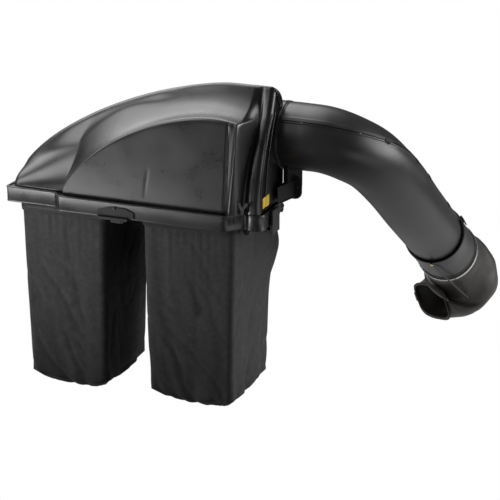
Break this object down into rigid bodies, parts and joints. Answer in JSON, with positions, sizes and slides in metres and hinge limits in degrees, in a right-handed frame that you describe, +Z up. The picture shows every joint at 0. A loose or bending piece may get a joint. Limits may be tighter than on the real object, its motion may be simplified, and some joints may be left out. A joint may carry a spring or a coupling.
{
  "type": "twin bag grass collector",
  "caption": "Rear twin-bag grass collector for a ride-on mower: lifting moulded hood over hanging bags, fed by a swept chute with a rubber boot.",
  "frame": {"origin": "centre of the hitch plate's front face, which bolts to the mower's rear", "axes": "+Y forward towards the mower (out of the hitch plate), +Z up, +X along the hood towards the chute side"},
  "size_m": [1.6075, 1.5481, 1.2719],
  "materials": {
    "hood_plastic": "moulded black polyethylene, lightly grained, soft satin sheen",
    "chute_plastic": "moulded black polyethylene, smoother satin",
    "trim_plastic": "black moulded fittings",
    "bag_fabric": "black coated woven fabric, creased",
    "boot_rubber": "flexible black rubber with a brown cast",
    "frame_paint": "black powder coat",
    "zinc": "bright zinc plate",
    "brass_plate": "yellow passivated",
    "label": "plain yellow film, no print"
  },
  "bodies": {
    "frame": {"frame_cross_tube": "frame_paint", "frame_side_tube": "frame_paint", "frame_upright_left": "frame_paint", "frame_upright_right": "frame_paint", "hitch_bracket_left": "frame_paint", "hitch_bracket_right": "frame_paint", "frame_lower_tube": "frame_paint", "hitch_plate": "frame_paint", "hinge_bracket_1": "frame_paint", "hinge_bracket_2": "frame_paint", "hinge_pin_1": "zinc", "hinge_pin_2": "zinc", "bag_rail_left_outer": "frame_paint", "bag_rail_left_inner": "frame_paint", "bag_rail_right_inner": "frame_paint", "bag_rail_right_outer": "frame_paint", "latch_keeper": "frame_paint", "chute_support_box": "trim_plastic", "chute_support_flange": "frame_paint", "chute_saddle": "trim_plastic", "chute_support_arm": "frame_paint"},
    "hood": {"hood_dome": "hood_plastic", "hood_rim": "hood_plastic", "inlet_seal": "boot_rubber", "end_label": "label", "hood_hinge_leaf_1": "frame_paint", "hood_hinge_leaf_2": "frame_paint"},
    "rear_latch": {"latch_handle": "trim_plastic", "latch_pivot_screw": "frame_paint"},
    "strap": {"dome_strap": "boot_rubber"},
    "left_bag": {"bag_left": "bag_fabric", "bag_frame_left": "frame_paint"},
    "right_bag": {"bag_right": "bag_fabric", "bag_frame_right": "frame_paint"},
    "chute": {"chute_cover": "chute_plastic", "chute_body": "chute_plastic", "chute_collar": "chute_plastic", "boot": "boot_rubber", "boot_tab": "boot_rubber", "clamp_band": "zinc", "stay_screw": "brass_plate", "seam_clip_outer_1": "trim_plastic", "seam_clip_outer_2": "trim_plastic", "seam_clip_outer_3": "trim_plastic", "seam_clip_outer_4": "trim_plastic", "seam_clip_inner_1": "trim_plastic", "seam_clip_inner_2": "trim_plastic", "seam_clip_inner_3": "trim_plastic", "seam_clip_inner_4": "trim_plastic"},
    "clamp_key": {"clamp_screw": "zinc"},
    "collar_catch": {"collar_latch": "trim_plastic"},
    "stay": {"stay_rod": "frame_paint"},
    "left_hitch_pin": {"hitch_pin_left": "zinc"},
    "right_hitch_pin": {"hitch_pin_right": "zinc"}
  },
  "joints": [
    {"name": "hood_hinge", "type": "hinge", "parent": "frame", "child": "hood", "pos_m": [0, -0.052, 0.369], "axis": [-1, 0, 0], "range_deg": [0, 70]},
    {"name": "latch_pull", "type": "hinge", "parent": "hood", "child": "rear_latch", "pos_m": [-0.05, -0.548, 0.378], "axis": [-1, 0, 0], "range_deg": [0, 22]},
    {"name": "strap_release", "type": "hinge", "parent": "hood", "child": "strap", "pos_m": [0.447, -0.5065, 0.406], "axis": [1, 0, 0], "range_deg": [0, 70]},
    {"name": "left_bag_slide", "type": "slide", "parent": "frame", "child": "left_bag", "axis": [0, -1, 0], "range_m": [0, 0.4]},
    {"name": "right_bag_slide", "type": "slide", "parent": "frame", "child": "right_bag", "axis": [0, -1, 0], "range_m": [0, 0.4]},
    {"name": "chute_swivel", "type": "hinge", "parent": "frame", "child": "chute", "pos_m": [0.524, -0.215, 0.638], "axis": [1, 0, 0], "range_deg": [-3, 5]},
    {"name": "clamp_screw_turn", "type": "hinge", "parent": "chute", "child": "clamp_key", "pos_m": [0.77495, 0.7389, -0.00642], "axis": [-0.5164, -0.4848, -0.7059], "continuous": true},
    {"name": "collar_catch_lift", "type": "hinge", "parent": "chute", "child": "collar_catch", "pos_m": [0.99088, 0.58881, 0.10681], "axis": [-0.6001, 0.4768, 0.6423], "range_deg": [0, 40]},
    {"name": "stay_swing", "type": "hinge", "parent": "chute", "child": "stay", "pos_m": [0.90305, 0.43416, -0.0371], "axis": [0.12, -0.578, -0.8072], "range_deg": [0, 40]},
    {"name": "left_pin_pull", "type": "slide", "parent": "frame", "child": "left_hitch_pin", "axis": [-1, 0, 0], "range_m": [0, 0.06]},
    {"name": "right_pin_pull", "type": "slide", "parent": "frame", "child": "right_hitch_pin", "axis": [1, 0, 0], "range_m": [0, 0.06]}
  ]
}
